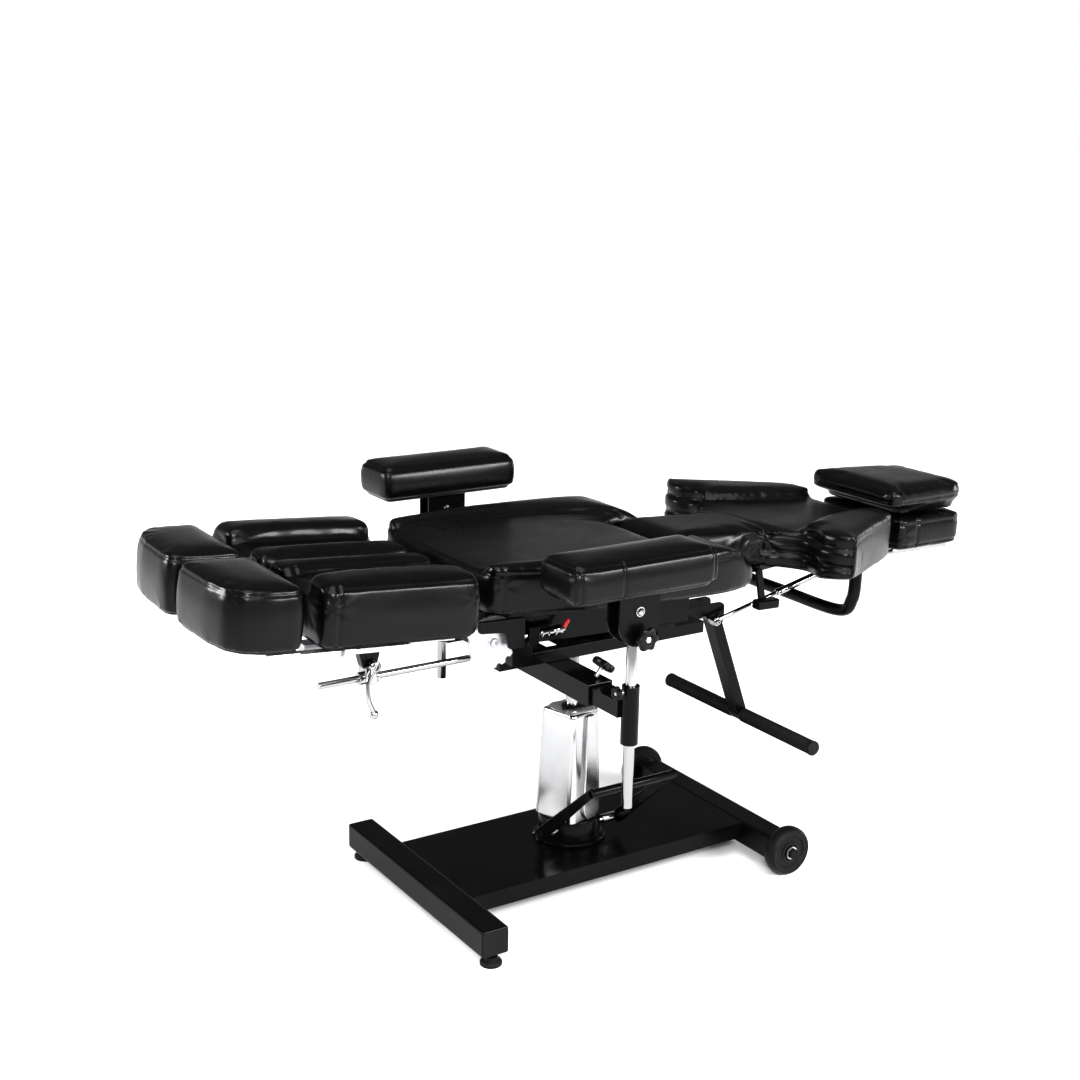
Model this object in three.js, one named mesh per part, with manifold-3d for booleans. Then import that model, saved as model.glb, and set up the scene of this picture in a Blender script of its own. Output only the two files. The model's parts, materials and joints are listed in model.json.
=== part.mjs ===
// Hydraulic treatment chair, shown lying flat: H-shaped steel base with a foot-pumped chrome
// column, raked seat, two-part leg rest, waisted backrest, head cushion and two armrests.
// Millimetres, +Z up. +X runs from the foot end to the head end, Y runs across the chair.
// The origin is on the floor under the middle of the overall length.
import * as THREE from "three";
import { mergeVertices } from "three/addons/utils/BufferGeometryUtils.js";
import Module from "manifold-3d";

const wasm = await Module();
wasm.setup();

// ---- driving dimensions ----
const SHIFT_X = -65.4; // the pump axis stands this far from the middle of the length
const GAP = 0.3; // left between two pieces that touch
const BAR_Z0 = 23, BAR_Z1 = 71; // base tubes
const FRONT_BAR = [-342, -290], FRONT_HALF = 250;
const REAR_BAR = [320.3, 370], REAR_HALF = 205;
const PLATE_HALF = 130, PLATE_LIP = 38, PLATE_WALL = 4;
const WHEEL_R = 47.5, WHEEL_X = 345, WHEEL_IN = 217, WHEEL_OUT = 248;
const ROD_R = 12, ROD_TOP = 465.7, ROD_BOTTOM = 190;
const SHROUD_TOP = 327, SHROUD_FOOT = 118, SHROUD_HALF = 41, SHROUD_FLARE = 1.17;
const BEAM_Z = [466, 488], BEAM_HALF = 25, SIDE_Y = [80, 100];
const TUBE_X = [-125, -75], TUBE_Z = [426, 465], TUBE_HALF = 230, TUBE_WALL = 4;
const POST_X = -100, POST_Y = 316, POST_R = 9.5, SLEEVE_R = 15;
const SEAT_RAKE = 2.2, SEAT_AT = [300, 600]; // degrees, and the x and z it turns about
const LEG_RAKE = 4.5, LEG_AT = [-330, 600];
const PAD_LOW = -25, PAD_FLAT = 51, PAD_BOLSTER = 66, WING_TOP = 74;
const BACK_HINGE = [-125, 13]; // in the raked seat frame
const NOSE_R = 38; // rounded front end of the backrest, centred on its hinge
const LEG_HINGE = [-274, 547], DISC_R = 46, LEG_Y = 160;
const LEG_ROD_Z = 526, FOOT_BAR_Y = [186, 206];
const STRUT_A = [300, 460], STRUT_B = [335, -52]; // level frame, raked seat frame
const STRUT_Y = -42, STRUT_BODY = 182, STRUT_REACH = 341; // along the strut, from its upper eye

// ---- materials ----
const mat = (color, roughness, metalness) =>
  new THREE.MeshStandardMaterial({ color, roughness, metalness });
const STEEL = mat(0x17181a, 0.45, 0.6);
const CHROME = mat(0xd8dade, 0.08, 1.0);
const ZINC = mat(0xb9bcc0, 0.35, 0.9);
const LEATHER = mat(0x0e0e10, 0.32, 0.0);
const PLASTIC = mat(0x111112, 0.5, 0.0);
const RUBBER = mat(0x0c0c0d, 0.8, 0.0);

// ---- shape helpers ----
const box = (x0, x1, y0, y1, z0, z1) =>
  new THREE.BoxGeometry(x1 - x0, Math.abs(y1 - y0), z1 - z0)
    .translate((x0 + x1) / 2, (y0 + y1) / 2, (z0 + z1) / 2);

// A closed outline through [a, b, radius] corners.
function outline(corners) {
  const shape = new THREE.Shape();
  const n = corners.length;
  corners.forEach(([x, y, r = 0], i) => {
    const p = new THREE.Vector2(x, y);
    const toward = (j) => {
      const q = new THREE.Vector2(corners[j][0], corners[j][1]).sub(p);
      return q.setLength(Math.min(r, q.length() * 0.48)).add(p);
    };
    const a = toward((i + n - 1) % n), b = toward((i + 1) % n);
    if (i === 0) shape.moveTo(a.x, a.y);
    else shape.lineTo(a.x, a.y);
    if (r > 0) shape.quadraticCurveTo(x, y, b.x, b.y);
  });
  return shape;
}

const bevelled = (depth, bevel, segments) => ({
  depth: depth - 2 * bevel, bevelEnabled: bevel > 0, bevelThickness: bevel, bevelSize: bevel,
  bevelOffset: -bevel, bevelSegments: 1, curveSegments: segments,
});

// A plan outline standing from z0 to z1.
const slab = (corners, z0, z1, bevel = 0, segments = 3) =>
  new THREE.ExtrudeGeometry(outline(corners), bevelled(z1 - z0, bevel, segments))
    .translate(0, 0, z0 + bevel);

// A side outline, in x and z, running from y0 to y1.
const sideways = (shape, y0, y1, bevel = 0, segments = 4) =>
  new THREE.ExtrudeGeometry(shape, bevelled(Math.abs(y1 - y0), bevel, segments))
    .rotateX(Math.PI / 2)
    .translate(0, Math.max(y0, y1) - bevel, 0);

// A round bar between two points.
function bar(a, b, r, around = 12) {
  const from = new THREE.Vector3(...a), to = new THREE.Vector3(...b);
  const line = to.clone().sub(from);
  const turn = new THREE.Quaternion().setFromUnitVectors(
    new THREE.Vector3(0, 1, 0), line.clone().normalize());
  const middle = from.clone().add(to).multiplyScalar(0.5);
  return new THREE.CylinderGeometry(r, r, line.length(), around)
    .applyQuaternion(turn).translate(middle.x, middle.y, middle.z);
}

// A round tube bent through a row of points.
function bent(points, r, steps, around = 10) {
  const path = new THREE.CatmullRomCurve3(
    points.map((p) => new THREE.Vector3(...p)), false, "centripetal");
  const ring = new THREE.Shape().absarc(0, 0, r, 0, 2 * Math.PI);
  return new THREE.ExtrudeGeometry(ring, {
    steps, extrudePath: path, curveSegments: around, bevelEnabled: false,
  });
}

// ---- joining and cutting ----
function solid(geometry) {
  const g = geometry.clone();
  g.deleteAttribute("normal");
  g.deleteAttribute("uv");
  const m = mergeVertices(g, 1e-3);
  return new wasm.Manifold(new wasm.Mesh({
    numProp: 3,
    vertProperties: m.attributes.position.array,
    triVerts: new Uint32Array(m.index.array),
  }));
}

function shell(made) {
  const mesh = made.getMesh();
  const g = new THREE.BufferGeometry();
  g.setAttribute("position", new THREE.BufferAttribute(mesh.vertProperties, 3));
  g.setIndex(new THREE.BufferAttribute(mesh.triVerts, 1));
  g.computeVertexNormals();
  return g;
}

const join = (first, ...rest) =>
  shell(rest.reduce((sum, g) => sum.add(solid(g)), solid(first)));
const cut = (first, ...rest) =>
  shell(rest.reduce((sum, g) => sum.subtract(solid(g)), solid(first)));

// ---- the three frames ----
const group = new THREE.Group();
const level = new THREE.Group();
level.position.x = SHIFT_X;
group.add(level);

function raked(at, degrees) {
  const g = new THREE.Group();
  g.position.set(at[0], 0, at[1]);
  g.rotation.y = THREE.MathUtils.degToRad(degrees);
  level.add(g);
  return g;
}
const seat = raked(SEAT_AT, SEAT_RAKE);
const legs = raked(LEG_AT, LEG_RAKE);

function add(parent, name, geometry, material) {
  const mesh = new THREE.Mesh(geometry, material);
  mesh.name = name;
  parent.add(mesh);
  return mesh;
}

// Height, in the level frame, of a point x along and w up in the raked seat frame.
function seatZ(x, w) {
  const a = THREE.MathUtils.degToRad(SEAT_RAKE);
  return SEAT_AT[1] + (w - (x - SEAT_AT[0]) * Math.sin(a)) / Math.cos(a);
}
const sides = [["near", -1], ["far", 1]];

// A lobed grip, its stem running from the foot along a direction.
function knob(foot, toward, stem, radius, thick) {
  const lobes = new THREE.Shape();
  const n = 18;
  for (let i = 0; i < n; i++) {
    const a = (i / n) * 2 * Math.PI;
    const r = radius * (0.9 + 0.1 * Math.cos(6 * a));
    if (i === 0) lobes.moveTo(r, 0);
    else lobes.lineTo(r * Math.cos(a), r * Math.sin(a));
  }
  const grip = new THREE.ExtrudeGeometry(lobes, bevelled(thick, 0, 1)).translate(0, 0, stem);
  const made = join(bar([0, 0, 0], [0, 0, stem + 2], 4, 8), grip);
  const turn = new THREE.Quaternion().setFromUnitVectors(
    new THREE.Vector3(0, 0, 1), new THREE.Vector3(...toward).normalize());
  return made.applyQuaternion(turn).translate(...foot);
}

// ---- base ----
function base() {
  const square = [[FRONT_BAR[0], BAR_Z0, 4], [FRONT_BAR[1], BAR_Z0, 4],
    [FRONT_BAR[1], BAR_Z1, 4], [FRONT_BAR[0], BAR_Z1, 4]];
  add(level, "base_front_bar",
    sideways(outline(square), -FRONT_HALF, FRONT_HALF, 1.5, 2), STEEL);
  const x0 = FRONT_BAR[1] + GAP, x1 = REAR_BAR[0] - GAP;
  add(level, "base_plate",
    cut(box(x0, x1, -PLATE_HALF, PLATE_HALF, PLATE_LIP, 70),
      box(x0 - 5, x1 + 5, -PLATE_HALF + PLATE_WALL, PLATE_HALF - PLATE_WALL,
        PLATE_LIP - 5, 70 - PLATE_WALL)), STEEL);
  const rear = [[REAR_BAR[0], BAR_Z0, 4], [REAR_BAR[1], BAR_Z0, 4],
    [REAR_BAR[1], BAR_Z1, 4], [REAR_BAR[0], BAR_Z1, 4]];
  const stub = (s) => [
    bar([WHEEL_X, s * (REAR_HALF - 20), WHEEL_R], [WHEEL_X, s * 250, WHEEL_R], 6),
    bar([WHEEL_X, s * 249, WHEEL_R], [WHEEL_X, s * 255, WHEEL_R], 11, 6),
    bar([WHEEL_X, s * (REAR_HALF - 5), WHEEL_R], [WHEEL_X, s * 214, WHEEL_R], 14)];
  add(level, "base_rear_bar",
    join(sideways(outline(rear), -REAR_HALF, REAR_HALF, 1.5, 2), ...stub(-1), ...stub(1)), STEEL);
  for (const [name, s] of sides) {
    add(level, "wheel_" + name, wheel(s), RUBBER);
    add(level, "level_foot_" + name, levelFoot(s), RUBBER);
  }
}

function wheel(s) {
  const half = (WHEEL_OUT - WHEEL_IN) / 2;
  const profile = [[6.4, -half], [30, -half + 1], [34, -half + 4], [WHEEL_R - 4, -half + 2],
    [WHEEL_R, -half + 7], [WHEEL_R, half - 7], [WHEEL_R - 4, half - 2], [34, half - 4],
    [30, half - 1], [6.4, half], [6.4, -half]];
  return new THREE.LatheGeometry(profile.map((p) => new THREE.Vector2(...p)), 24)
    .translate(WHEEL_X, s * (WHEEL_IN + half), WHEEL_R);
}

function levelFoot(s) {
  const profile = [[0, 0], [17, 0], [19, 2], [19, 7], [12, 11], [12, 17], [6, 17],
    [6, BAR_Z0 - GAP], [0, BAR_Z0 - GAP]];
  return new THREE.LatheGeometry(profile.map((p) => new THREE.Vector2(...p)), 12)
    .rotateX(Math.PI / 2).translate(-316, s * 236, 0);
}

// ---- pump and pedal ----
const PEDAL_AT = [-30, 100], PEDAL_ARM = [87.5, 92.5]; // pivot in y and z; the arms, in x
function pump() {
  const z0 = 70 + GAP;
  const pins = sides.flatMap(([, s]) => {
    const along = (a, b, r, n) =>
      bar([s * a, PEDAL_AT[0], PEDAL_AT[1]], [s * b, PEDAL_AT[0], PEDAL_AT[1]], r, n);
    return [along(45, 95, 5, 12), along(45, 86, 8, 12), along(93.2, 98, 8.5, 6)];
  });
  const body = join(bar([0, 0, z0], [0, 0, 78], 68, 28),
    bar([0, 0, 76], [0, 0, SHROUD_FOOT - GAP], 59, 28), ...pins);
  add(level, "pump_base", cut(body, bar([0, 0, 79], [0, 0, 130], ROD_R + 1, 20)), CHROME);
  add(level, "pump_shroud", shroud(), CHROME);
  add(level, "pump_rod", bar([0, 0, ROD_BOTTOM], [0, 0, ROD_TOP], ROD_R, 20), CHROME);
  add(level, "pedal", pedal(), STEEL);
}

// A rounded square column that flares downwards, with a raised tongue on one face.
function shroud() {
  const h = SHROUD_HALF, depth = SHROUD_TOP - SHROUD_FOOT;
  const column = new THREE.ExtrudeGeometry(
    outline([[-h, -h, 9], [h, -h, 22], [h, h, 14], [-h, h, 9]]),
    { depth, steps: 2, bevelEnabled: false, curveSegments: 5 });
  const p = column.attributes.position;
  for (let i = 0; i < p.count; i++) {
    const k = SHROUD_FLARE + (1 - SHROUD_FLARE) * (p.getZ(i) / depth);
    p.setXY(i, p.getX(i) * k, p.getY(i) * k);
  }
  column.translate(0, 0, SHROUD_FOOT);
  const tongue = new THREE.ExtrudeGeometry(
    outline([[-9, 205], [-24, 8, 22], [0, -12, 14], [24, 8, 22], [9, 205]]),
    { depth: 9, bevelEnabled: false, curveSegments: 4 })
    .rotateX(Math.PI / 2 - 0.033).translate(2, -h * SHROUD_FLARE + 3.5, SHROUD_FOOT);
  const low = box(-60, 60, -80, 80, 60, SHROUD_FOOT);
  const made = solid(column).add(solid(tongue).subtract(solid(low)))
    .subtract(solid(bar([0, 0, 60], [0, 0, 400], ROD_R + 1, 24)));
  return shell(made).rotateZ(THREE.MathUtils.degToRad(14));
}

// A side outline, in y and z, running from x0 to x1.
function endways(shape, x0, x1) {
  const axes = new THREE.Matrix4().makeBasis(new THREE.Vector3(0, 1, 0),
    new THREE.Vector3(0, 0, 1), new THREE.Vector3(1, 0, 0));
  return new THREE.ExtrudeGeometry(shape, bevelled(Math.abs(x1 - x0), 0, 3))
    .applyMatrix4(axes).translate(Math.min(x0, x1), 0, 0);
}

// Foot lever: two flat arms, one each side of the pump, joined by a bar along the near side.
function pedal() {
  const [py, pz] = PEDAL_AT;
  const arm = outline([[py + 9, pz - 8, 6], [py + 8, pz + 8, 6], [-99, 199, 8], [-196, 253, 4],
    [-200, 241, 4], [-109, 189, 8], [py - 9, pz - 3, 6]]);
  const [x0, x1] = PEDAL_ARM;
  const whole = solid(endways(arm, -x1, -x0)).add(solid(endways(arm, x0, x1)))
    .add(solid(bar([-x1 - 2, -200, 247], [x1 + 2, -200, 247], 8, 12)));
  return shell(whole.subtract(solid(bar([-120, py, pz], [120, py, pz], 5.4))));
}

// ---- frame under the seat ----
const RAIL_W = [-96, -46], RAIL_Y = [110, 138];
function frame() {
  const across = (x0, x1) => {
    const foot = BEAM_Z[1] - 2;
    const top = (x) => seatZ(x, RAIL_W[0]) - GAP;
    return sideways(outline([[x0, foot], [x1, foot], [x1, top(x1)], [x0, top(x0)]]),
      -RAIL_Y[1], RAIL_Y[1]);
  };
  const tongue = sideways(outline([[190, BEAM_Z[0]], [290, BEAM_Z[0]], [306, BEAM_Z[0] - 20, 6],
    [336, BEAM_Z[0] - 20, 10], [336, BEAM_Z[1], 10], [190, BEAM_Z[1]]]), -BEAM_HALF, BEAM_HALF);
  const slot = box(298, 350, -17, 17, 420, 520);
  const pin = bar([322, -BEAM_HALF - 3, 462], [322, BEAM_HALF + 3, 462], 6);
  const long = sides.map(([, s]) => box(-222, 225, s * SIDE_Y[0], s * SIDE_Y[1], ...BEAM_Z));
  const ties = [box(190, 225, -SIDE_Y[1], SIDE_Y[1], ...BEAM_Z),
    box(-55, 55, -SIDE_Y[1], SIDE_Y[1], BEAM_Z[0], 480)];
  const made = [...long, ...ties, across(-220, -180), across(88, 128), pin]
    .reduce((sum, g) => sum.add(solid(g)), solid(tongue).subtract(solid(slot)));
  add(level, "beam", shell(made), STEEL);
  const outer = box(...TUBE_X, -TUBE_HALF, TUBE_HALF, TUBE_Z[0], TUBE_Z[1]);
  const inner = box(TUBE_X[0] + TUBE_WALL, TUBE_X[1] - TUBE_WALL, -300, 300,
    TUBE_Z[0] + TUBE_WALL, TUBE_Z[1] - TUBE_WALL);
  add(level, "cross_tube", cut(outer, inner), STEEL);
  for (const [name, s] of sides) {
    add(seat, "seat_rail_" + name, rail(s), STEEL);
    add(seat, "back_bracket_" + name, backBracket(s), STEEL);
    add(level, "leg_plunger_" + name, plunger(s), CHROME);
  }
  add(seat, "seat_board",
    slab([[-590, -150, 20], [-222, -150, 20], [-222, 150, 20], [-590, 150, 20]],
      RAIL_W[1] + GAP, PAD_LOW - GAP, 0, 3), PLASTIC);
}

const PLUNGER_W = -72; // the plunger's height in the raked seat frame
function rail(s) {
  const tube = box(-531, -140, s * RAIL_Y[0], s * RAIL_Y[1], ...RAIL_W);
  const guide = box(-504, -484, s * (RAIL_Y[1] - 1), s * 170, PLUNGER_W - 16, PLUNGER_W + 16);
  const hole = bar([-520, s * LEG_Y, PLUNGER_W], [-470, s * LEG_Y, PLUNGER_W], 7.5);
  return shell(solid(tube).add(solid(guide).subtract(solid(hole))));
}

function plunger(s) {
  const y = s * LEG_Y, z = LEG_HINGE[1];
  return join(bar([-226.5, y, z], [-130, y, z], 5), bar([-178, y, z], [-166, y, z], 8.5),
    bar([-160, y, z], [-136, y, z], 8.5, 12),
    bar([-134, y, z - 3], [-122, y, z + 16], 4, 10));
}

function backBracket(s) {
  const [u, w] = BACK_HINGE;
  const plate = new THREE.Shape();
  plate.moveTo(-216, RAIL_W[0] + 4);
  plate.lineTo(-170, RAIL_W[0] + 4);
  plate.lineTo(u + 14, w - 2);
  plate.absarc(u, w, 14, 0, Math.PI);
  plate.lineTo(-216, RAIL_W[0] + 30);
  plate.closePath();
  return join(sideways(plate, s * 90.5, s * 94.5),
    bar([u, s * 84.6, w], [u, s * 92, w], 6),
    box(-216, -176, s * 92, s * (RAIL_Y[0] - GAP), RAIL_W[0] + 4, RAIL_W[0] + 10));
}

// ---- seat ----
const mirrored = (half) =>
  [...half, ...half.slice().reverse().map(([u, y, r]) => [u, -y, r])];
function seatPad() {
  const rim = [[-602, 190, 30], [-420, 234, 60], [-240, 243, 60], [-98, 240, 64],
    [-30, 196, 60], [-18, 100, 14]];
  const plan = mirrored([...rim, [-172, 98, 8]]);
  const main = slab(plan, PAD_LOW, PAD_FLAT, 8);
  const ridge = (s) => slab(
    [...rim.map(([u, y, r]) => [u, s * y, r]), [-130, s * 104, 20], [-200, s * 150, 60],
      [-400, s * 176, 60], [-592, s * 150, 20]], 0, PAD_BOLSTER, 6, 3);
  const slope = sideways(outline([[-140, 90], [-140, 68], [-95, 52, 20], [-42, 14, 20],
    [-12, -30], [60, -30], [60, 90]]), -300, 300);
  return cut(join(main, ridge(1), ridge(-1)), slope);
}

// ---- backrest ----
const HEAD_ROD_W = PAD_LOW - 7; // height of the two rods that carry the head pad
function backrest() {
  const [u, w] = BACK_HINGE;
  const nose = bar([u, -84, w], [u, 84, w], NOSE_R, 28);
  const wings = mirrored([[u, 84], [20, 84, 40], [70, 104, 40], [96, 292, 16],
    [352, 148, 14], [362, 120, 10]]);
  const main = slab(wings, PAD_LOW, PAD_FLAT, 6);
  const ridge = (s) => slab([[86, s * 150, 16], [96, s * 292, 16], [352, s * 148, 14],
    [358, s * 94, 10], [300, s * 86, 30], [200, s * 104, 30]], 0, WING_TOP, 6, 3);
  add(seat, "back_pad", join(nose, main, ridge(1), ridge(-1)), LEATHER);

  const plateZ = [PAD_LOW - 11, PAD_LOW - GAP];
  const disc = (s) => {
    const side = new THREE.Shape();
    side.moveTo(u - 6, plateZ[0] + 12);
    side.lineTo(u + 60, plateZ[0]);
    side.lineTo(u + 60, plateZ[1] + 8);
    side.lineTo(u + 14, w);
    side.absarc(u, w, 14, 0, Math.PI);
    side.closePath();
    return sideways(side, s * 85, s * 89.5);
  };
  const guide = cut(box(200, 240, -95, 95, HEAD_ROD_W - 9, PAD_LOW - GAP),
    ...[-80, 80].map((y) => bar([180, y, HEAD_ROD_W], [260, y, HEAD_ROD_W], 5.4, 12)));
  const lug = (y0, y1) => sideways(
    outline([[318, plateZ[0] + 1], [352, plateZ[0] + 1], [344, -62, 8], [326, -62, 8]]), y0, y1);
  const plate = slab([[u + 30, -89.5, 6], [60, -89.5, 30], [120, -70, 30], [354, -70, 6],
    [354, 70, 6], [120, 70, 30], [60, 89.5, 30], [u + 30, 89.5, 6]], ...plateZ, 0, 3);
  const holes = bar([u, -100, w], [u, 100, w], 6.4);
  const steel = [guide, lug(-64, -59), lug(-25, -20), disc(1), disc(-1)]
    .reduce((sum, g) => sum.add(solid(g)), solid(plate)).subtract(solid(holes))
    .add(solid(bar([STRUT_B[0], -60, STRUT_B[1]], [STRUT_B[0], -24, STRUT_B[1]], 4, 12)))
    .add(solid(bar([60, -80, PAD_LOW - 8.5], [60, -98, PAD_LOW - 8.5], 4, 12)));
  add(seat, "back_frame", shell(steel), STEEL);

  const z = PAD_LOW - 3;
  add(seat, "push_handle", bent([[224, -186, z], [222, -184, -82], [222, -150, -113],
    [222, 0, -116], [222, 150, -113], [222, 184, -82], [224, 186, z]], 12, 22, 5), STEEL);
  add(seat, "release_lever", releaseLever(), STEEL);
}


// Recline release: a flat arm on a pin at the near edge of the back frame, with a block grip.
function releaseLever() {
  const pin = PAD_LOW - 8.5;
  const arm = new THREE.Shape();
  arm.moveTo(67, pin);
  arm.absarc(60, pin, 7, 0, Math.PI);
  arm.lineTo(66, -92);
  arm.lineTo(80, -92);
  arm.closePath();
  const grip = slab([[54, -110, 4], [106, -110, 4], [106, -88, 4], [54, -88, 4]], -107, -89, 2, 2);
  const made = solid(sideways(arm, -97, -91)).add(solid(grip));
  return shell(made.subtract(solid(bar([60, -120, pin], [60, -80, pin], 4.4, 12))));
}

function strut() {
  const a = THREE.MathUtils.degToRad(SEAT_RAKE);
  const bx = SEAT_AT[0] + STRUT_B[0] * Math.cos(a) + STRUT_B[1] * Math.sin(a);
  const bz = SEAT_AT[1] - STRUT_B[0] * Math.sin(a) + STRUT_B[1] * Math.cos(a);
  const dx = STRUT_A[0] - bx, dz = STRUT_A[1] - bz, long = Math.hypot(dx, dz);
  const at = (d) => [bx + (dx * d) / long, STRUT_Y, bz + (dz * d) / long];
  const across = (d, y0, y1, r) => {
    const [x, , z] = at(d);
    return bar([x, y0, z], [x, y1, z], r, 16);
  };
  const tube = solid(bar(at(8), at(STRUT_BODY), 7, 20)).add(solid(across(0, -49, -35, 9)))
    .add(solid(bar(at(2), at(14), 5, 12)));
  add(level, "strut_tube",
    shell(tube.subtract(solid(bar(at(20), at(400), 5.2, 16)))
      .subtract(solid(across(0, -60, -20, 4.4)))), STEEL);
  const rod = solid(bar(at(30), at(long - 2), 4.5, 16)).add(solid(across(long, -49, -35, 9)))
    .add(solid(across(long, -53, -25.5, 4.5)));
  add(level, "strut_rod", shell(rod), CHROME);
}

function head() {
  const w = HEAD_ROD_W;
  const rods = [-80, 80].map((y) => solid(bar([130, y, w], [500, y, w], 5, 12)));
  const tray = solid(box(420, 572, -86, 86, w - 1, PAD_LOW - GAP));
  add(seat, "head_slide", shell(tray.add(rods[0]).add(rods[1])), CHROME);
  add(seat, "head_pad", slab([[398, -124, 24], [592, -108, 20], [592, 108, 20], [398, 124, 24]],
    PAD_LOW, 48, 8), LEATHER);
  const board = slab([[398, -108, 20], [586, -92, 20], [586, 92, 20], [398, 108, 20]],
    48 + GAP, 70, 0, 3);
  const cushion = slab([[366, -130, 30], [604, -100, 36], [604, 100, 36], [366, 130, 30]],
    65, 108, 9);
  add(seat, "head_cushion", join(board, cushion), LEATHER);
}

// Stirrup bar: a flat stem hanging from the beam's rear fork, with a round cross bar.
function tBar() {
  const top = [322, 462], foot = [406, 239];
  const dx = foot[0] - top[0], dz = foot[1] - top[1], long = Math.hypot(dx, dz);
  const [nx, nz] = [-dz / long, dx / long];
  const half = 11;
  const stem = sideways(outline([
    [top[0] + nx * half, top[1] + nz * half], [foot[0] + nx * half, foot[1] + nz * half],
    [foot[0] - nx * half, foot[1] - nz * half], [top[0] - nx * half, top[1] - nz * half]]),
    -15, 15);
  const cross = solid(bar([foot[0], -219, foot[1]], [foot[0], 219, foot[1]], 12.5, 20));
  const eye = solid(bar([top[0], -15, top[1]], [top[0], 15, top[1]], half, 24));
  const hole = solid(bar([top[0], -30, top[1]], [top[0], 30, top[1]], 6.4));
  add(level, "t_bar", shell(solid(stem).add(cross).add(eye).subtract(hole)), STEEL);
}

// ---- leg rest: two equal halves ----
function toLegs(x, z) {
  const a = THREE.MathUtils.degToRad(LEG_RAKE);
  const dx = x - LEG_AT[0], dz = z - LEG_AT[1];
  return [dx * Math.cos(a) - dz * Math.sin(a), dx * Math.sin(a) + dz * Math.cos(a)];
}
function legsZ(x, q) {
  const a = THREE.MathUtils.degToRad(LEG_RAKE);
  return LEG_AT[1] + (q - (x - LEG_AT[0]) * Math.sin(a)) / Math.cos(a);
}

function legHalf(name, s) {
  const LOW = -20; // underside of the leg pads
  const [hp, hq] = toLegs(...LEG_HINGE);
  const disc = bar([hp, s * 157, hq], [hp, s * 163, hq], DISC_R, 32);
  const arm = sideways(outline([[-290, LOW - 14], [10, LOW - 14], [42, -84], [74, -58],
    [64, -16, 6], [10, LOW - GAP], [-290, LOW - GAP]]), s * 157, s * 163);
  const rail = box(-290, -22, s * 145, s * 175, LOW - 14, LOW - GAP);
  const loop = cut(box(-240, -222, s * 174, s * 214, LOW - 17, LOW - GAP),
    box(-250, -200, s * (FOOT_BAR_Y[0] - 0.8), s * (FOOT_BAR_Y[1] + 0.8), LOW - 12.8, LOW - 3.2));
  const notches = [20, 45, 70].map((deg) => {
    const a = THREE.MathUtils.degToRad(-deg);
    const x = hp + DISC_R * Math.cos(a), z = hq + DISC_R * Math.sin(a);
    return bar([x, s * 150, z], [x, s * 170, z], 5.5, 12);
  });
  add(legs, "leg_arm_" + name, cut(join(disc, arm, rail, loop), ...notches), ZINC);

  const y = s * LEG_Y;
  add(level, "leg_rod_" + name,
    bar([-592, y, LEG_ROD_Z], [-318, y, LEG_ROD_Z], 5.5, 14), CHROME);
  const top = (x) => legsZ(x, LOW - 14) - GAP;
  const block = sideways(outline([[-532, top(-532)], [-524, 508, 8], [-488, 508, 8],
    [-480, top(-480)]]), s * 147, s * 173);
  add(level, "calf_bracket_" + name,
    cut(block, bar([-560, y, LEG_ROD_Z], [-460, y, LEG_ROD_Z], 5.9, 16)), STEEL);

  const handle = bent([[-503, s * 181, 549], [-516, s * 183, 526], [-518, s * 187, 498],
    [-511, s * 189, 478]], 4, 5, 4);
  add(level, "clamp_lever_" + name,
    join(bar([-503, s * 173.4, 549], [-503, s * 186, 549], 9), handle,
      new THREE.SphereGeometry(7.5, 10, 6).translate(-510, s * 189, 473)), CHROME);

  const calf = slab([[-291, s * 8, 16], [-4, s * 8, 16], [-4, s * 238, 26],
    [-291, s * 238, 26]], LOW, 62, 9);
  const inside = slab([[-291, s * 8, 16], [-4, s * 8, 16], [-4, s * 72, 20],
    [-291, s * 72, 20]], 20, 82, 9, 3);
  const outside = slab([[-291, s * 150, 20], [-4, s * 150, 20], [-4, s * 238, 26],
    [-291, s * 238, 26]], 20, 92, 12, 3);
  add(legs, "calf_pad_" + name, join(calf, inside, outside), LEATHER);

  add(legs, "foot_pad_" + name, slab([[-308, s * 8, 20], [-308, s * 232, 24],
    [-440, s * 228, 90], [-448, s * 8, 30]], LOW, 90, 8), LEATHER);
  add(legs, "foot_bar_" + name,
    join(box(-366, -120, s * FOOT_BAR_Y[0], s * FOOT_BAR_Y[1], LOW - 12, LOW - 4),
      box(-366, -312, s * (FOOT_BAR_Y[0] - 8), s * (FOOT_BAR_Y[1] + 4), LOW - 5, LOW - GAP)),
    ZINC);
}

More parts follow.
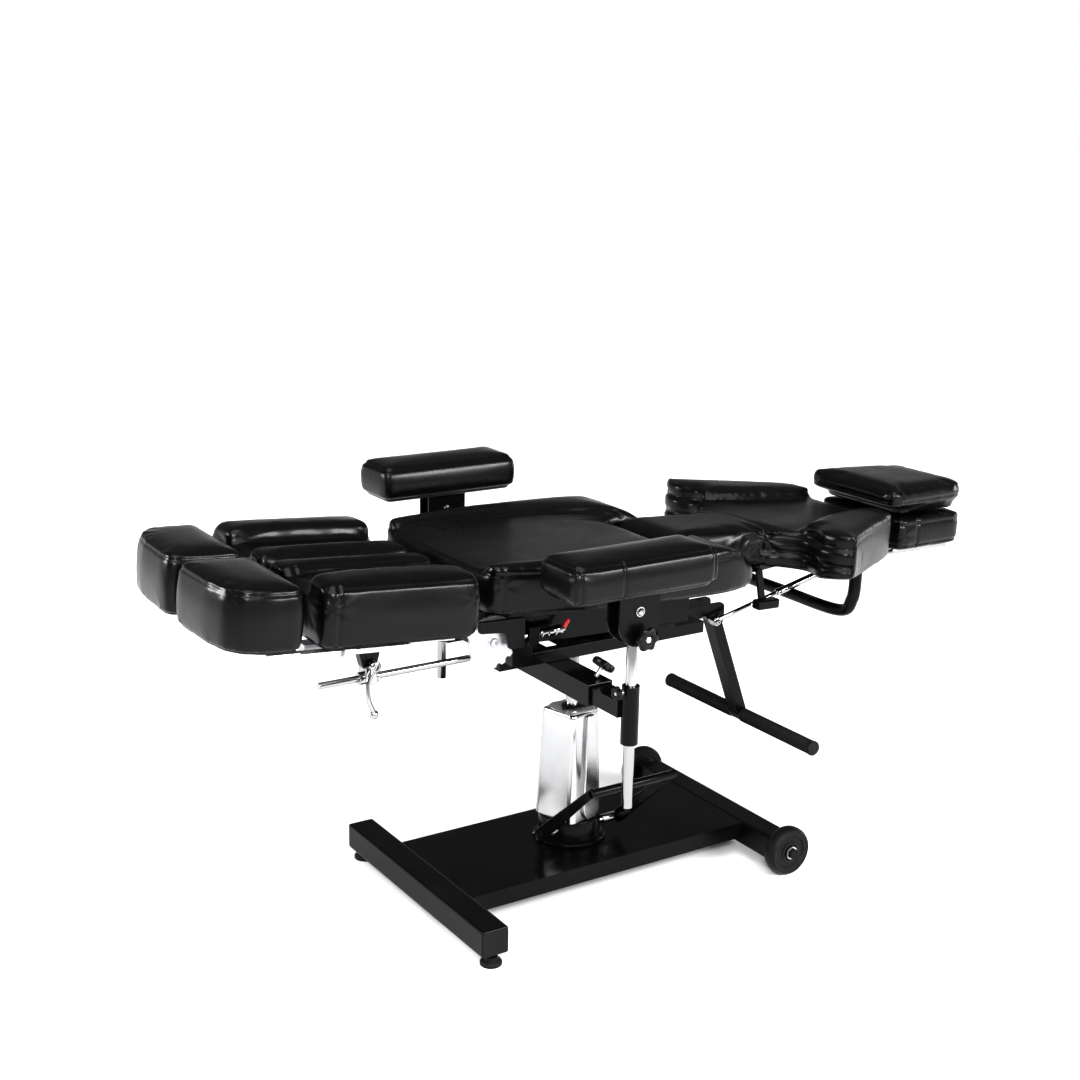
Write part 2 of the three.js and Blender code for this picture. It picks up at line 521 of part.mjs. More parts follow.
// ---- armrest, raised by lift ----
function armrest(name, s, lift) {
  const y = s * POST_Y;
  const tube = solid(box(-120, -80, s * 120, s * (POST_Y - 8), TUBE_Z[0] + 5, TUBE_Z[1] - 5));
  const sleeve = solid(bar([POST_X, y, 385], [POST_X, y, 488], SLEEVE_R, 24));
  const bore = solid(bar([POST_X, y, 300], [POST_X, y, 600], POST_R + 0.5, 24));
  add(level, "arm_slide_" + name, shell(tube.add(sleeve).subtract(bore)), STEEL);
  add(level, "slide_knob_" + name, knob([-95, s * 208, 468], [0.62, 0, 0.78], 18, 22, 14), PLASTIC);
  add(level, "sleeve_knob_" + name,
    knob([POST_X - SLEEVE_R - GAP, y, 478], [-1, 0, 0], 8, 13, 9), PLASTIC);

  const z = 620 + lift;
  add(level, "arm_post_" + name, join(
    bar([POST_X, y, 270 + lift], [POST_X, y, 600 + lift], POST_R, 20),
    box(POST_X - 10, POST_X + 10, y - 10, y + 10, 588 + lift, 632 + lift),
    bar([POST_X, y - 21, z], [POST_X, y + 21, z], 5),
    ...[-1, 1].map((e) => bar([POST_X, y + e * 18.6, z], [POST_X, y + e * 24, z], 8))), CHROME);
  const ear = new THREE.Shape();
  ear.moveTo(POST_X - 40, 649.7 + lift);
  ear.lineTo(POST_X - 40, 600 + lift);
  ear.absarc(POST_X, 600 + lift, 40, Math.PI, 2 * Math.PI);
  ear.lineTo(POST_X + 40, 649.7 + lift);
  ear.closePath();
  const plate = box(POST_X - 40, POST_X + 40, y - 18, y + 18, 645 + lift, 649.7 + lift);
  const hole = bar([POST_X, y - 40, z], [POST_X, y + 40, z], 5.4);
  add(level, "arm_bracket_" + name, cut(
    join(plate, sideways(ear, y - 18, y - 14, 0, 10), sideways(ear, y + 14, y + 18, 0, 10)),
    hole), STEEL);
  add(level, "tilt_knob_" + name,
    knob([-95, y + s * 18.3, 576 + lift], [0, s, 0], 8, 21, 13), PLASTIC);
  add(level, "arm_pad_" + name, slab([[-257, y - 60, 20], [39, y - 60, 20], [39, y + 60, 20],
    [-257, y + 60, 20]], 650 + lift, 726 + lift, 12), LEATHER);
}

base();
pump();
frame();
add(seat, "seat_pad", seatPad(), LEATHER);
backrest();
strut();
head();
tBar();
for (const [name, s] of sides) {
  legHalf(name, s);
  armrest(name, s, s > 0 ? 36 : 0);
}

export default group;
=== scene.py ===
import json
import bpy
import bmesh
from math import cos, sin, pi, radians, exp, tanh, tau
from mathutils import Matrix, Vector, noise


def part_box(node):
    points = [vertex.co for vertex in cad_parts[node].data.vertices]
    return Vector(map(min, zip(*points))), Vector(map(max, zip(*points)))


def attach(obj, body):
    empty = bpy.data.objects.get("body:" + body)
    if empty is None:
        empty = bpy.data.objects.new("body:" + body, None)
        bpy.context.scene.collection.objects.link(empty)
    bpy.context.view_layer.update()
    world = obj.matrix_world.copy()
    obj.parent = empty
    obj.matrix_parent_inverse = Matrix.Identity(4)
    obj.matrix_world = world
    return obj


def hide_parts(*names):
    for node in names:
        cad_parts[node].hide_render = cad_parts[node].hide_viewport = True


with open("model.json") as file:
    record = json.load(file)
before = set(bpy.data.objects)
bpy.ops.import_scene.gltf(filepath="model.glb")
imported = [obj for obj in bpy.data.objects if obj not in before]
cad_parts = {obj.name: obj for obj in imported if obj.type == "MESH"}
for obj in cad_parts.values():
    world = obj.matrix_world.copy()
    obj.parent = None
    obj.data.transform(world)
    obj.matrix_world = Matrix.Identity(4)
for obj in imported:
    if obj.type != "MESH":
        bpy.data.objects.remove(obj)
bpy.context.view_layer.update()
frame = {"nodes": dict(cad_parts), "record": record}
NODES = frame["nodes"]
SIDES = (("near", -1), ("far", 1))

WORLD = Matrix.Identity(4)

# The pump's axis, and the frames that the raked seat and the raked leg rest are drawn in.
SX = (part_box("pump_rod")[0].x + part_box("pump_rod")[1].x) / 2
SEAT = Matrix.Translation((SX + 0.3, 0, 0.6)) @ Matrix.Rotation(radians(2.2), 4, "Y")
LEGS = Matrix.Translation((SX - 0.33, 0, 0.6)) @ Matrix.Rotation(radians(4.5), 4, "Y")

# Places shared by several pieces, in metres.
POST_X = SX - 0.1               # armrest posts
POST_Y = 0.316
FAR_RAISED = 0.036              # how much higher the far armrest stands
PEDAL_Y, PEDAL_Z = -0.030, 0.100
TREAD_Y, TREAD_Z = -0.2, 0.247  # the bar under the foot
PEDAL_ARM_X = (0.0875, 0.0925)  # each arm's faces, from the pump's axis
LEG_Y = 0.16                    # guide rods and plungers
PLUNGER_Z = 0.547
QUADRANT_X, QUADRANT_Z = SX - 0.274, 0.547
GUIDE_Z = 0.526
CLAMP_X, CLAMP_Z = SX - 0.503, 0.549
LUG_X = SX - 0.506
STRUT_TOP = Vector((SX + 0.632757, -0.042, 0.535178))
STRUT_WAY = Vector((-0.97543, 0, -0.22037))
STRUT_LONG = 0.341


# ---- materials ----
class Nodes:
    def __init__(self, name):
        self.mat = bpy.data.materials.new(name)
        self.mat.use_nodes = True
        self.tree = self.mat.node_tree
        self.tree.nodes.clear()
        out = self.tree.nodes.new("ShaderNodeOutputMaterial")
        self.bsdf = self.tree.nodes.new("ShaderNodeBsdfPrincipled")
        self.tree.links.new(self.bsdf.outputs[0], out.inputs[0])
        self.coord = self.tree.nodes.new("ShaderNodeTexCoord").outputs["Object"]
        self.height = None

    def new(self, kind, **values):
        node = self.tree.nodes.new(kind)
        for key, value in values.items():
            node.inputs[key.replace("_", " ")].default_value = value
        return node

    def link(self, a, b):
        self.tree.links.new(a, b)

    def stretched(self, scale):
        m = self.new("ShaderNodeMapping", Scale=scale)
        self.link(self.coord, m.inputs["Vector"])
        return m.outputs[0]

    def noise(self, scale, detail=3.0, distortion=0.0, stretch=None, rough=0.5):
        n = self.new("ShaderNodeTexNoise", Scale=scale, Detail=detail, Distortion=distortion,
                     Roughness=rough)
        self.link(self.stretched(stretch) if stretch else self.coord, n.inputs["Vector"])
        return n.outputs[0]

    def cells(self, scale, feature="DISTANCE_TO_EDGE"):
        n = self.new("ShaderNodeTexVoronoi", Scale=scale)
        n.feature = feature
        self.link(self.coord, n.inputs["Vector"])
        return n.outputs["Distance"]

    def ranged(self, value, a, b, lo=0.3, hi=0.7):
        n = self.new("ShaderNodeMapRange")
        for i, v in enumerate((lo, hi, a, b)):
            n.inputs[i + 1].default_value = v
        self.link(value, n.inputs[0])
        return n.outputs[0]

    def colour(self, value, a, b, lo=0.3, hi=0.7):
        n = self.new("ShaderNodeValToRGB")
        n.color_ramp.elements[0].position, n.color_ramp.elements[1].position = lo, hi
        n.color_ramp.elements[0].color = (*a, 1)
        n.color_ramp.elements[1].color = (*b, 1)
        self.link(value, n.inputs[0])
        self.link(n.outputs[0], self.bsdf.inputs["Base Color"])

    def roughness(self, value, a, b, lo=0.3, hi=0.7):
        self.link(self.ranged(value, a, b, lo, hi), self.bsdf.inputs["Roughness"])

    def bump(self, value, strength, distance):
        n = self.new("ShaderNodeBump", Strength=strength, Distance=distance)
        self.link(value, n.inputs["Height"])
        if self.height:
            self.link(self.height, n.inputs["Normal"])
        self.height = n.outputs[0]
        self.link(self.height, self.bsdf.inputs["Normal"])

    def set(self, **values):
        for key, value in values.items():
            self.bsdf.inputs[key.replace("_", " ")].default_value = value
        return self


def leather():
    m = Nodes("black_leather").set(Specular_IOR_Level=0.16, Coat_Weight=0.08, Coat_Roughness=0.18)
    m.colour(m.noise(7, 4), (0.0008, 0.0008, 0.0009), (0.0020, 0.0020, 0.0023))
    m.roughness(m.noise(13, 4, 0.3), 0.25, 0.34)
    m.bump(m.noise(15, 2, 0.5), 0.10, 0.003)
    m.bump(m.cells(620), 0.10, 0.0004)
    m.bump(m.noise(900, 2), 0.04, 0.0003)
    return m.mat


def painted():
    m = Nodes("satin_black_paint").set(Specular_IOR_Level=0.12)
    m.colour(m.noise(11, 4), (0.0010, 0.0010, 0.0011), (0.0026, 0.0026, 0.0029))
    m.roughness(m.noise(12, 3, 0.3), 0.2, 0.27)
    m.bump(m.noise(420, 2), 0.03, 0.0002)
    return m.mat


def chrome(name="chrome_plate", tone=0.33, rough=(0.06, 0.13)):
    m = Nodes(name).set(Metallic=1.0)
    m.colour(m.noise(9, 3), (tone * 0.94, tone * 0.945, tone * 0.96), (tone, tone, tone * 1.01))
    m.roughness(m.noise(40, 6, 0.5), *rough)
    m.bump(m.noise(14, 1), 0.05, 0.002)
    return m.mat


def zinc():
    m = Nodes("zinc_plate").set(Metallic=0.85)
    m.colour(m.noise(18, 5), (0.38, 0.385, 0.40), (0.50, 0.505, 0.515))
    m.roughness(m.noise(60, 5, 0.3, (1, 1, 9)), 0.26, 0.44)
    m.bump(m.noise(240, 3, 0, (1, 1, 12)), 0.06, 0.0004)
    return m.mat


def rubber(name="black_rubber", rough=(0.45, 0.62), tone=0.0035):
    m = Nodes(name).set(Specular_IOR_Level=0.18)
    m.colour(m.noise(22, 5), (tone * 0.6,) * 3, (tone * 1.3, tone * 1.3, tone * 1.35))
    m.roughness(m.noise(45, 4), *rough)
    m.bump(m.noise(700, 2), 0.16, 0.0005)
    return m.mat


def red():
    m = Nodes("red_cap").set(Specular_IOR_Level=0.5)
    m.colour(m.noise(80, 3), (0.32, 0.008, 0.012), (0.5, 0.015, 0.02))
    m.roughness(m.noise(200, 3), 0.3, 0.45)
    return m.mat


def floor_white():
    m = Nodes("studio_floor").set(Specular_IOR_Level=0.2)
    m.colour(m.noise(1.5, 3), (0.82, 0.82, 0.82), (0.86, 0.86, 0.86))
    m.roughness(m.noise(6, 3), 0.6, 0.75)
    return m.mat


LEATHER, PAINT, CHROME, ZINC = leather(), painted(), chrome(), zinc()
RUBBER, PLASTIC = rubber(), rubber("black_plastic", (0.28, 0.42), 0.003)
RED = red()
PRESSED = chrome("pressed_chrome", 0.42, (0.15, 0.22))


# ---- mesh helpers ----
def piece(name, verts, faces, mat, smooth=True):
    me = bpy.data.meshes.new(name)
    me.from_pydata([tuple(v) for v in verts], [], faces)
    me.validate()
    bm = bmesh.new()
    bm.from_mesh(me)
    bmesh.ops.recalc_face_normals(bm, faces=bm.faces)
    bm.to_mesh(me)
    bm.free()
    me.materials.append(mat)
    ob = bpy.data.objects.new(name, me)
    bpy.context.scene.collection.objects.link(ob)
    if smooth:
        me.polygons.foreach_set("use_smooth", [True] * len(me.polygons))
        me.set_sharp_from_angle(angle=radians(38))
    return ob


def facing(axis):
    return Vector((0, 0, 1)).rotation_difference(Vector(axis)).to_matrix().to_4x4()


def lathe(name, profile, at, axis, mat, n=48, lobes=None):
    """A closed turned piece: (radius, height) points round an axis through a point.
    A profile that ends where it starts makes a bored piece."""
    place = Matrix.Translation(at) @ facing(axis)
    verts, faces = [], []
    rings = []
    bored = profile[0] == profile[-1]
    for r, h in profile[:-1] if bored else profile:
        if r < 1e-6:
            verts.append(place @ Vector((0, 0, h)))
            rings.append([len(verts) - 1])
        else:
            start = len(verts)
            for i in range(n):
                a = tau * i / n
                k = lobes(a, r, h) if lobes else 1.0
                verts.append(place @ Vector((r * k * cos(a), r * k * sin(a), h)))
            rings.append(list(range(start, start + n)))
    if bored:
        rings.append(rings[0])
    for a, b in zip(rings, rings[1:]):
        for i in range(n):
            j = (i + 1) % n
            if len(a) == 1:
                faces.append((a[0], b[i], b[j]))
            elif len(b) == 1:
                faces.append((a[i], b[0], a[j]))
            else:
                faces.append((a[i], b[i], b[j], a[j]))
    for ring in (rings[0], rings[-1]):
        if len(ring) > 1 and not bored:
            faces.append(tuple(ring))
    return piece(name, verts, faces, mat)


def rod(name, a, b, r, mat, n=32, edge=0.0012):
    """A round bar between two points, its ends rounded."""
    a, b = Vector(a), Vector(b)
    long = (b - a).length
    e = min(edge, r * 0.4)
    profile = [(0, 0), (r - e, 0), (r - e * 0.3, e * 0.3), (r, e), (r, long - e),
               (r - e * 0.3, long - e * 0.3), (r - e, long), (0, long)]
    return lathe(name, profile, a, b - a, mat, n)


def hex_head(name, at, axis, r, high, mat):
    profile = [(0, 0), (r, 0), (r, high * 0.75), (r * 0.86, high), (0, high)]
    return lathe(name, profile, at, axis, mat, 6)


def bolt(name, at, axis, r, high, mat):
    """A washer under a domed head with a socket."""
    profile = [(0, 0), (r * 1.3, 0), (r * 1.3, high * 0.25), (r, high * 0.27), (r, high * 0.6),
               (r * 0.82, high * 0.9), (r * 0.5, high), (r * 0.42, high), (r * 0.38, high * 0.5),
               (0, high * 0.5)]
    return lathe(name, profile, at, axis, mat, 24)


def smooth_path(points, steps):
    """Catmull-Rom points through a row of points."""
    p = [Vector(q) for q in points]
    p = [p[0] * 2 - p[1]] + p + [p[-1] * 2 - p[-2]]
    out = []
    for i in range(1, len(p) - 2):
        for k in range(steps):
            t = k / steps
            out.append(0.5 * (2 * p[i] + (p[i + 1] - p[i - 1]) * t
                       + (2 * p[i - 1] - 5 * p[i] + 4 * p[i + 1] - p[i + 2]) * t * t
                       + (3 * p[i] - p[i - 1] - 3 * p[i + 1] + p[i + 2]) * t ** 3))
    return out + [p[-2]]


def tube(name, points, r, mat, n=20):
    """A round bar along a row of points."""
    verts, faces = [], []
    count = len(points)
    up = Vector((0.13, 0.21, 0.97))
    for i, p in enumerate(points):
        a = points[i - 1] if i else p
        b = points[i + 1] if i < count - 1 else p
        t = (Vector(b) - Vector(a)).normalized()
        side = t.cross(up)
        side = side.normalized() if side.length > 1e-3 else t.orthogonal().normalized()
        up = side.cross(t).normalized()
        for k in range(n):
            c = tau * k / n
            verts.append(Vector(p) + r * (cos(c) * side + sin(c) * up))
    for i in range(count - 1):
        j = i + 1
        for k in range(n):
            m = (k + 1) % n
            faces.append((i * n + k, i * n + m, j * n + m, j * n + k))
    faces += [tuple(range(n)), tuple(range((count - 1) * n, count * n))]
    return piece(name, verts, faces, mat)


def give(ob, body, slot, *replaced):
    """Says which body carries a piece, and hides the nodes it stands for; its finish (slot) is not used.
    """
    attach(ob, body)
    if replaced:
        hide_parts(*replaced)
    return ob


def prism(name, outline, low, high, place, mat, edge=0.0015, axis="Z"):
    """An outline in two axes, between two heights, with rounded edges."""
    def at(a, b, h):
        return place @ Vector({"Z": (a, b, h), "Y": (a, h, b), "X": (h, a, b)}[axis])
    n = len(outline)
    verts = [at(a, b, low) for a, b in outline] + [at(a, b, high) for a, b in outline]
    faces = [tuple(range(n)), tuple(range(n, 2 * n))]
    faces += [(i, (i + 1) % n, n + (i + 1) % n, n + i) for i in range(n)]
    ob = piece(name, verts, faces, mat, smooth=False)
    soften(ob, edge)
    return ob


def soften(ob, width, segments=2, weld=False):
    """Rounds the sharp edges of a flat-sided piece."""
    if weld:
        w = ob.modifiers.new("joined", "WELD")
        w.merge_threshold = 0.00002
    b = ob.modifiers.new("edges", "BEVEL")
    b.width, b.segments, b.limit_method, b.angle_limit = width, segments, "ANGLE", radians(40)
    b.use_clamp_overlap = True
    ob.modifiers.new("shading", "WEIGHTED_NORMAL").keep_sharp = True


def rounded(corners, steps=6):
    """Corner points with radii to a smooth outline."""
    out = []
    n = len(corners)
    for i, (x, y, r) in enumerate(corners):
        p = Vector((x, y))
        ends = []
        for j in (i - 1, (i + 1) % n):
            d = Vector(corners[j][:2]) - p
            ends.append(p + d.normalized() * min(r, d.length * 0.48))
        if r <= 0:
            out.append((x, y))
            continue
        for k in range(steps + 1):
            t = k / steps
            q = ends[0] * (1 - t) ** 2 + 2 * p * t * (1 - t) + ends[1] * t * t
            out.append((q.x, q.y))
    return out


# ---- cushions ----
CLOTH_FRAMES = 20
PIN_WIDTH = 0.0045


def bell(value, width):
    return exp(-(value / width) ** 2)


def step(value, lo, hi):
    t = min(1, max(0, (value - lo) / (hi - lo)))
    return t * t * (3 - 2 * t)


class Cushion:
    """A CAD pad remeshed, rounded, blown up between its seams, then creased and gathered."""
    def __init__(self, node, body, place, voxel, rounds, seams, cap, gathers=(), twin=None,
                 shrink=0.003, fill=0.85, reshape=None):
        self.node, self.body, self.place, self.seams = node, body, place, seams
        self.cap, self.gathers, self.twin, self.fill = cap, gathers, twin, fill
        self.local = place.inverted()
        me = NODES[node].data.copy()
        ob = bpy.data.objects.new(node + "_soft", me)
        bpy.context.scene.collection.objects.link(ob)
        ob.modifiers.new("weld", "WELD").merge_threshold = 0.00005
        r = ob.modifiers.new("voxels", "REMESH")
        r.mode, r.voxel_size, r.adaptivity = "VOXEL", voxel, 0
        s = ob.modifiers.new("round", "SMOOTH")
        s.factor, s.iterations = 0.5, rounds
        d = ob.modifiers.new("shrink", "DISPLACE")
        d.mid_level, d.strength = 0, -shrink
        dg = bpy.context.evaluated_depsgraph_get()
        base = bpy.data.meshes.new_from_object(ob.evaluated_get(dg))
        ob.modifiers.clear()
        ob.data = base
        self.ob = ob
        if reshape:
            for v in base.vertices:
                v.co = place @ reshape(self.local @ v.co)
            base.update()
        lo = min((self.local @ v.co).z for v in base.vertices)
        self.floor = lo + 0.004
        self.rest = [v.co.copy() for v in base.vertices]

    def pinned(self, p, n):
        """How firmly a point is held: fully at the base, and along each seam."""
        if p.z < self.floor:
            return 1.0
        return max([bell(f(p, n), PIN_WIDTH) for f, *_ in self.seams], default=0.0)

    def blow(self):
        group = self.ob.vertex_groups.new(name="held")
        for v in self.ob.data.vertices:
            p = self.local @ v.co
            n = self.local.to_3x3() @ v.normal
            w = self.pinned(p, n)
            if w > 0.02:
                group.add([v.index], min(1, w), "REPLACE")
        c = self.ob.modifiers.new("cloth", "CLOTH")
        s = c.settings
        s.quality, s.mass, s.time_scale = 4, 0.3, 1.0
        s.tension_stiffness = s.compression_stiffness = 12
        s.shear_stiffness, s.bending_stiffness = 4, 0.35
        s.use_pressure, s.uniform_pressure_force = True, 4
        s.effector_weights.gravity = 0
        s.vertex_group_mass = "held"
        s.shrink_min = 0.0
        c.collision_settings.use_collision = False
        c.collision_settings.use_self_collision = False
        c.point_cache.frame_start, c.point_cache.frame_end = 1, CLOTH_FRAMES

    def settle(self):
        """Takes the simulated shape, kept within the cushion's cap."""
        dg = bpy.context.evaluated_depsgraph_get()
        moved = self.ob.evaluated_get(dg).to_mesh()
        now = [v.co.copy() for v in moved.vertices]
        self.ob.evaluated_get(dg).to_mesh_clear()
        self.ob.modifiers.clear()
        me = self.ob.data
        for v, a, b in zip(me.vertices, self.rest, now):
            d = b - a
            p = self.local @ a
            n = self.local.to_3x3() @ v.normal
            cap = self.cap(p, n)
            if d.length > 1e-7:
                v.co = a + d * (cap * tanh(d.length / cap) / d.length)

    def finish(self):
        """Cuts the seams, gathers and creases, and makes the mirrored twin."""
        ob = self.ob
        ob.vertex_groups.clear()
        sub = ob.modifiers.new("finer", "SUBSURF")
        sub.levels = sub.render_levels = 1
        dg = bpy.context.evaluated_depsgraph_get()
        me = bpy.data.meshes.new_from_object(ob.evaluated_get(dg))
        ob.modifiers.clear()
        ob.data = me
        normals = [v.normal.copy() for v in me.vertices]
        for v, normal in zip(me.vertices, normals):
            p = self.local @ v.co
            n = self.local.to_3x3() @ normal
            move = 0.0
            for f, depth, width, gather, pitch in self.seams:
                d = f(p, n)
                if abs(d) > 0.05:
                    continue
                move -= depth * bell(d, width)
                if gather:
                    along = p.x * 1.0 + p.y * 0.8 + 0.006 * noise.noise(p * 22)
                    side = noise.noise(Vector((along / pitch, 3.1, p.z * 9)))
                    fade = exp(-abs(d) / 0.014) * step(abs(d), 0, 0.003)
                    move += gather * fade * (0.5 * sin(tau * along / pitch + 2 * side) + side)
            for fn in self.gathers:
                move += fn(p, n)
            v.co += normal * move
        me.polygons.foreach_set("use_smooth", [True] * len(me.polygons))
        me.materials.clear()
        me.materials.append(LEATHER)
        ob.name = self.node + "_cushion"
        give(ob, self.body, "leather", self.node)
        if self.twin:
            node, body = self.twin
            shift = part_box(node)[0].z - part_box(self.node)[0].z
            flip = me.copy()
            for v in flip.vertices:
                v.co = Vector((v.co.x, -v.co.y, v.co.z + shift))
            flip.flip_normals()
            other = bpy.data.objects.new(node + "_cushion", flip)
            bpy.context.scene.collection.objects.link(other)
            give(other, body, "leather", node)


def level_seam(w, mask=lambda p, n: True):
    """A seam at one height round the sides."""
    return lambda p, n: p.z - w if (n.z * n.z < 0.8 and mask(p, n)) else 9.0


def cross_seam(u, mask=lambda p, n: True):
    """A seam across the length."""
    return lambda p, n: p.x - u if mask(p, n) else 9.0


def line_seam(points):
    """A seam along a plan line on the top, the same on both sides."""
    pts = [Vector(q) for q in points]

    def f(p, n):
        if n.z < 0.3:
            return 9.0
        q = Vector((p.x, abs(p.y)))
        best = 9.0
        for a, b in zip(pts, pts[1:]):
            t = min(1, max(0, (q - a).dot(b - a) / (b - a).length_squared))
            best = min(best, (q - a - t * (b - a)).length)
        return best
    return f


def side_cap(out, inner, top):
    """How far skin may swell: outer sides, inner sides and ends, top."""
    def cap(p, n):
        up = max(0.0, n.z)
        away = max(0.0, n.y * (1 if p.y > 0 else -1))
        return top * up + (1 - up) * (inner + (out - inner) * away)
    return cap


def creases(at, reach, count, depth, phase=0.0):
    """Folds that fan out from a point and fade with distance."""
    at = Vector(at)

    def fn(p, n):
        d = p - at
        far = d.length
        if far > reach:
            return 0.0
        ang = Vector((d.x, d.z)).angle_signed(Vector((1, 0)), 0) if far > 1e-5 else 0
        fade = (1 - far / reach) ** 1.4 * step(far, 0.0, 0.012)
        wave = sin(ang * count + phase + 1.3 * noise.noise(p * 30))
        return depth * fade * wave
    return fn


def barrel(node, place, side, end):
    """Draws the sides in above and below the middle height, so they bow outward."""
    lo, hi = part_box(node)
    c = place.inverted() @ ((lo + hi) / 2)
    half = (hi.z - lo.z) / 2

    def fn(p):
        q = (p.z - c.z) / half
        q *= abs(q) if q > 0 else 0.55 * q
        return Vector((c.x + (p.x - c.x) * (1 - end * q), c.y + (p.y - c.y) * (1 - side * q), p.z))
    return fn


def wing_front(p):
    """Draws the wing fronts back beside the waist and rounds their outer ends."""
    a = abs(p.y)
    if p.x < 0.03 or a < 0.105:
        return p
    t = min(1, (a - 0.105) / 0.125)
    back = 0.024 * sin(pi * t) ** 2 + 0.026 * step(a, 0.225, 0.300) ** 2
    fade = 1 - step(p.x, 0.085, 0.23)
    low = step(a, 0.2, 0.29) * step(0.03 - p.z, 0.0, 0.06) * 0.012 * fade
    return Vector((p.x + back * fade, p.y, p.z + low))


def make_cushions():
    pads = []
    wing = lambda p, n: abs(p.y) > 0.098 and n.x < -0.25 and p.x < 0.16
    gather = 0.0002
    # seat
    seat_low, seat_high = -0.019, 0.047
    outer = lambda p, n: abs(p.y) > 0.11 or p.x < -0.5
    pads.append(Cushion(
        "seat_pad", "chair", SEAT, 0.0068, 12,
        [(level_seam(seat_low, outer), 0.0022, 0.003, gather, 0.017),
         (level_seam(seat_high, lambda p, n: outer(p, n) and p.x < -0.1), 0.0016, 0.003,
          gather * 0.7, 0.021),
         (line_seam([(-0.125, 0.105), (-0.165, 0.134), (-0.24, 0.154), (-0.40, 0.169),
                     (-0.52, 0.163), (-0.60, 0.149)]), 0.0014, 0.0035, 0, 1),
         (cross_seam(-0.575, lambda p, n: abs(n.y) > 0.55 and abs(p.y) > 0.16), 0.0018, 0.0028,
          gather, 0.02)],
        side_cap(0.007, 0.005, 0.005), fill=0.8,
        gathers=[creases((-0.575, s * 0.20, 0.03), 0.07, 5, 0.0006, s) for s in (-1, 1)]))
    # backrest
    pads.append(Cushion(
        "back_pad", "back", SEAT, 0.0062, 9,
        [(level_seam(-0.019, lambda p, n: p.x > -0.09), 0.0022, 0.003, gather, 0.016),
         (level_seam(0.046, wing), 0.0064, 0.0062, gather, 0.02),
         (level_seam(0.010, wing), 0.0068, 0.0062, gather, 0.018),
         (level_seam(0.054, lambda p, n: abs(p.y) > 0.1 and p.x > 0.1), 0.0012, 0.003, 0, 0.02),
         (cross_seam(0.115, lambda p, n: abs(n.y) > 0.6 and abs(p.y) > 0.2), 0.0022, 0.003, 0, 1)],
        side_cap(0.007, 0.005, 0.005), fill=0.8, reshape=wing_front,
        gathers=[creases((0.062, s * 0.100, 0.03), 0.075, 6, 0.0034, 2 * s) for s in (-1, 1)]
        + [creases((0.06, s * 0.10, -0.01), 0.06, 5, 0.0016, s) for s in (-1, 1)]))
    # head
    pads.append(Cushion(
        "head_pad", "head", SEAT, 0.0055, 8,
        [(level_seam(0.030), 0.0020, 0.003, gather * 0.6, 0.019),
         (level_seam(-0.012), 0.0022, 0.003, gather * 0.6, 0.016),
         (cross_seam(0.455, lambda p, n: abs(n.y) > 0.5), 0.0026, 0.003, 0, 1)],
        side_cap(0.004, 0.004, 0.003), fill=0.85,
        gathers=[creases((0.415, s * 0.115, 0.01), 0.06, 5, 0.0008, s) for s in (-1, 1)]))
    pads.append(Cushion(
        "head_cushion", "head", SEAT, 0.0055, 8,
        [(level_seam(0.0800), 0.0014, 0.0030, gather * 0.5, 0.03)],
        side_cap(0.0035, 0.0035, 0.007), fill=0.8,
        gathers=[creases((0.40, s * 0.115, 0.09), 0.05, 5, 0.0007, s) for s in (-1, 1)]))
    # leg rest
    pads.append(Cushion(
        "calf_pad_near", "leg_near", LEGS, 0.0058, 11,
        [(level_seam(-0.014), 0.0022, 0.003, gather, 0.017),
         (level_seam(0.079, lambda p, n: n.y < -0.3), 0.0012, 0.0032, gather * 0.6, 0.022),
         (cross_seam(-0.262, lambda p, n: n.y < -0.5), 0.0022, 0.003, gather, 0.02)],
        side_cap(0.0095, 0.0055, 0.006), twin=("calf_pad_far", "leg_far"), fill=0.85,
        reshape=barrel("calf_pad_near", LEGS, 0.085, 0.05),
        gathers=[creases((-0.275, -0.232, 0.05), 0.07, 6, 0.0010, 0.4),
                 creases((-0.03, -0.232, 0.05), 0.05, 5, 0.0007, 1.4)]))
    pads.append(Cushion(
        "foot_pad_near", "foot_near", LEGS, 0.0055, 12,
        [(level_seam(-0.014), 0.0022, 0.003, gather, 0.017),
         (level_seam(0.076), 0.0016, 0.0032, gather, 0.022)],
        side_cap(0.0085, 0.0055, 0.007), twin=("foot_pad_far", "foot_far"), fill=0.85,
        reshape=barrel("foot_pad_near", LEGS, 0.08, 0.10),
        gathers=[creases((-0.42, -0.19, 0.07), 0.06, 5, 0.0005, 0.9)]))
    # armrests
    arm_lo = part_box("arm_pad_near")[0]
    arm = Matrix.Translation((arm_lo.x, 0, arm_lo.z))
    pads.append(Cushion(
        "arm_pad_near", "arm_rest_near", arm, 0.0052, 10,
        [(level_seam(0.009), 0.0022, 0.003, gather, 0.016),
         (level_seam(0.065), 0.0016, 0.003, gather, 0.02),
         (cross_seam(0.098, lambda p, n: n.y < -0.4), 0.0020, 0.0024, 0, 1),
         (cross_seam(0.016, lambda p, n: n.y < -0.3), 0.0018, 0.003, 0, 1),
         (cross_seam(0.280, lambda p, n: n.y < -0.3), 0.0018, 0.003, 0, 1)],
        side_cap(0.008, 0.005, 0.006), twin=("arm_pad_far", "arm_rest_far"), fill=0.85,
        reshape=barrel("arm_pad_near", arm, 0.14, 0.035),
        gathers=[creases((0.012, -0.372, 0.06), 0.05, 6, 0.0009, 0.2),
                 creases((0.284, -0.372, 0.06), 0.04, 5, 0.0006, 1.1)]))
    for pad in pads:
        pad.blow()
    for i in range(1, CLOTH_FRAMES + 1):
        bpy.context.scene.frame_set(i)
    for pad in pads:
        pad.settle()
    bpy.context.scene.frame_set(1)
    for pad in pads:
        pad.finish()


